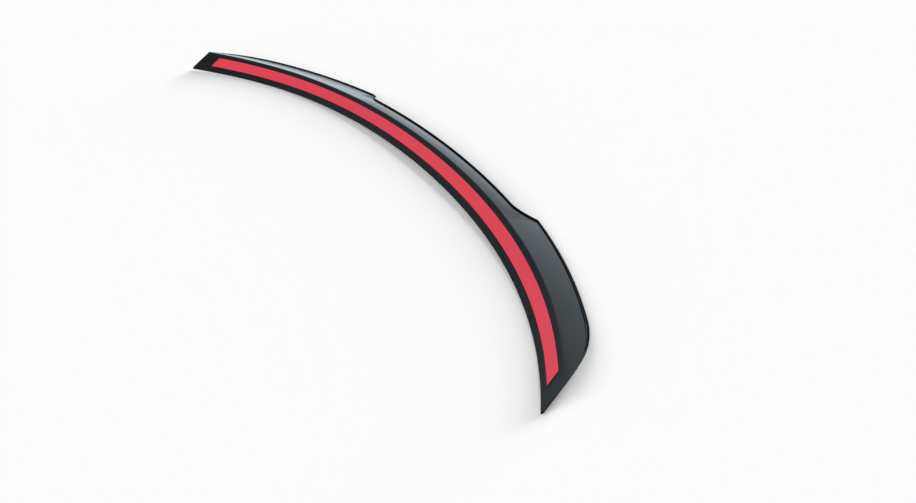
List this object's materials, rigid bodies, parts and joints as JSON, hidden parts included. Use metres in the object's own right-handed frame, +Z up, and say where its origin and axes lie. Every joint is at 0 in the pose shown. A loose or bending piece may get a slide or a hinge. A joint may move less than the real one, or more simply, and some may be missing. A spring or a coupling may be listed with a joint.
{
  "type": "spoiler extension",
  "caption": "Long glossy moulded strip that lengthens a boot lid's lip: flat taped flange with a raised, rimmed blade, lower in the middle and stepped up into wings.",
  "frame": {"origin": "middle of the part's box on the surface that it lies on", "axes": "+X along the strip from end to end, -Y towards the side that the strip is hollow to, its front edge, +Z up; the bonding side faces up"},
  "size_m": [1.2836, 0.2287, 0.0277],
  "materials": {
    "black_plastic": "moulded ABS, glossy black",
    "acrylic_foam": "dark grey foam tape",
    "red_film": "satin red polyethylene film"
  },
  "bodies": {
    "root": {"spoiler_moulding": "black_plastic", "foam_tape": "acrylic_foam", "release_liner": "red_film"}
  },
  "joints": []
}
